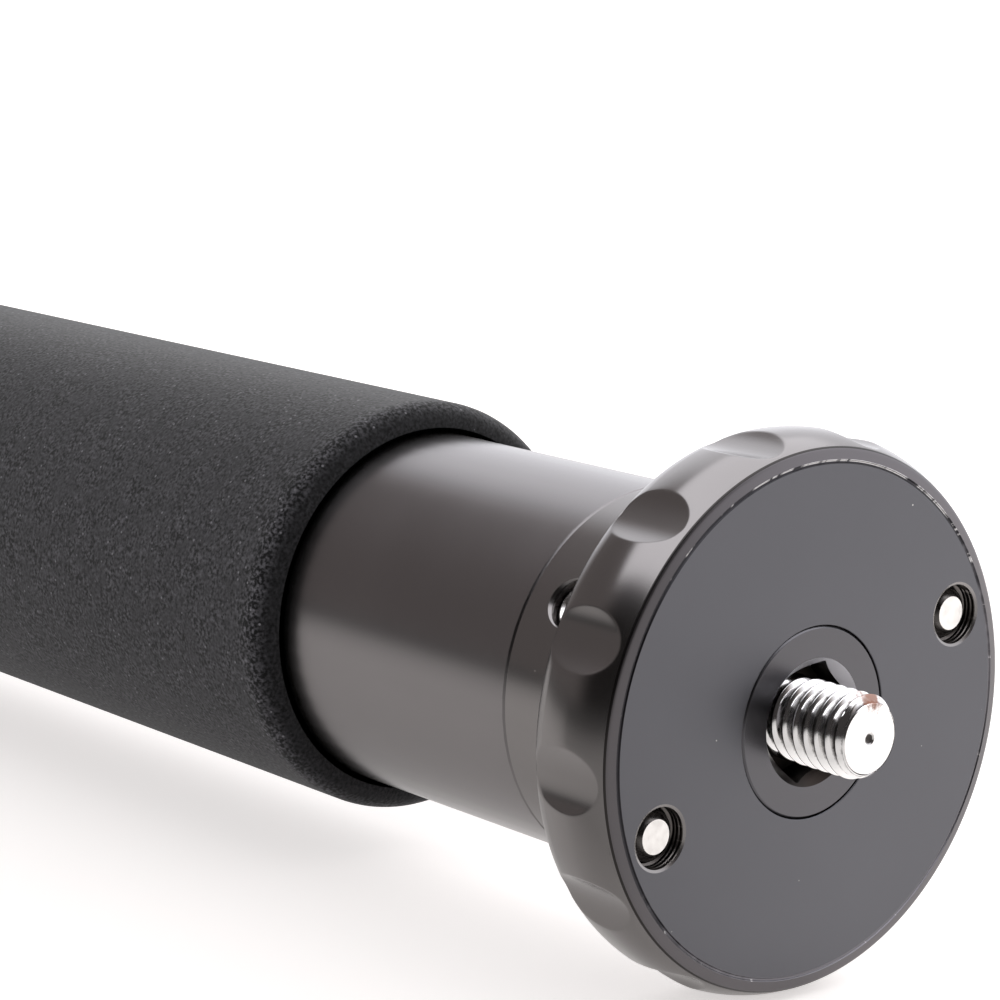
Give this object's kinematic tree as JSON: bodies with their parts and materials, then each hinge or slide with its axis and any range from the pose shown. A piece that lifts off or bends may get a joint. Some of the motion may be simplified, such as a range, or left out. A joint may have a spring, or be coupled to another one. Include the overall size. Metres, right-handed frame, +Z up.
{
  "type": "camera monopod",
  "caption": "Telescoping camera monopod with a fluted head plate, threaded camera stud, foam grip, twist-lock leg sections and a rubber foot over a retractable spike; stored collapsed.",
  "frame": {"origin": "centre of the head plate's face, on the axis of the camera stud", "axes": "+X along the pole and out of the head plate's face, in the direction of the camera stud; +Z up, square to a flute of the head plate, with the pole lying flat"},
  "size_m": [0.5789, 0.0634, 0.0632],
  "materials": {
    "anodised_grey": "satin",
    "anodised_bronze": "satin",
    "anodised_black": "satin",
    "plain_aluminium": "satin",
    "chrome": "polished",
    "steel": "satin",
    "foam": "matte",
    "black_rubber": "matte",
    "black_plastic": "matte",
    "white_plastic": "matte",
    "brass": "satin"
  },
  "bodies": {
    "pole": {"head_plate": "anodised_grey", "stud_insert": "anodised_grey", "camera_stud": "chrome", "stud_nut": "steel", "insert_set_screws": "steel", "upper_tube": "anodised_bronze", "foam_grip": "foam", "ferrule_1": "anodised_black", "collet_1": "black_plastic"},
    "lock_screw_a": {"head_lock_screw_a": "steel"},
    "lock_screw_b": {"head_lock_screw_b": "steel"},
    "collar_1": {"twist_collar_1": "anodised_black", "collar_rubber_1": "black_rubber", "wiper_seal_1": "black_rubber"},
    "leg_2": {"second_tube": "anodised_bronze", "guide_bush_2": "white_plastic", "ferrule_2": "anodised_black", "collet_2": "black_plastic"},
    "collar_2": {"twist_collar_2": "anodised_black", "collar_rubber_2": "black_rubber", "wiper_seal_2": "black_rubber"},
    "leg_3": {"third_tube": "anodised_bronze", "guide_bush_3": "white_plastic", "ferrule_3": "anodised_black", "collet_3": "black_plastic"},
    "collar_3": {"twist_collar_3": "anodised_black", "collar_rubber_3": "black_rubber", "wiper_seal_3": "black_rubber"},
    "leg_4": {"foot_tube": "anodised_bronze", "guide_bush_4": "white_plastic", "foot_plug": "plain_aluminium", "spike": "steel", "foot_o_ring": "black_rubber"},
    "foot": {"foot_bush": "brass", "rubber_foot": "black_rubber"}
  },
  "joints": [
    {"name": "head_lock_a", "type": "slide", "parent": "pole", "child": "lock_screw_a", "axis": [1, 0, 0], "range_m": [-0.0005, 0.0015]},
    {"name": "head_lock_b", "type": "slide", "parent": "pole", "child": "lock_screw_b", "axis": [1, 0, 0], "range_m": [-0.0005, 0.0015]},
    {"name": "collar_1_twist", "type": "hinge", "parent": "pole", "child": "collar_1", "pos_m": [-0.405, 0, 0], "axis": [1, 0, 0], "range_deg": [0, 120]},
    {"name": "leg_2_slide", "type": "slide", "parent": "pole", "child": "leg_2", "axis": [-1, 0, 0], "range_m": [0, 0.32]},
    {"name": "collar_2_twist", "type": "hinge", "parent": "leg_2", "child": "collar_2", "pos_m": [-0.455, 0, 0], "axis": [1, 0, 0], "range_deg": [0, 120]},
    {"name": "leg_3_slide", "type": "slide", "parent": "leg_2", "child": "leg_3", "axis": [-1, 0, 0], "range_m": [0, 0.36]},
    {"name": "collar_3_twist", "type": "hinge", "parent": "leg_3", "child": "collar_3", "pos_m": [-0.505, 0, 0], "axis": [1, 0, 0], "range_deg": [0, 120]},
    {"name": "leg_4_slide", "type": "slide", "parent": "leg_3", "child": "leg_4", "axis": [-1, 0, 0], "range_m": [0, 0.4]},
    {"name": "foot_retract", "type": "slide", "parent": "leg_4", "child": "foot", "axis": [1, 0, 0], "range_m": [0, 0.009]}
  ]
}
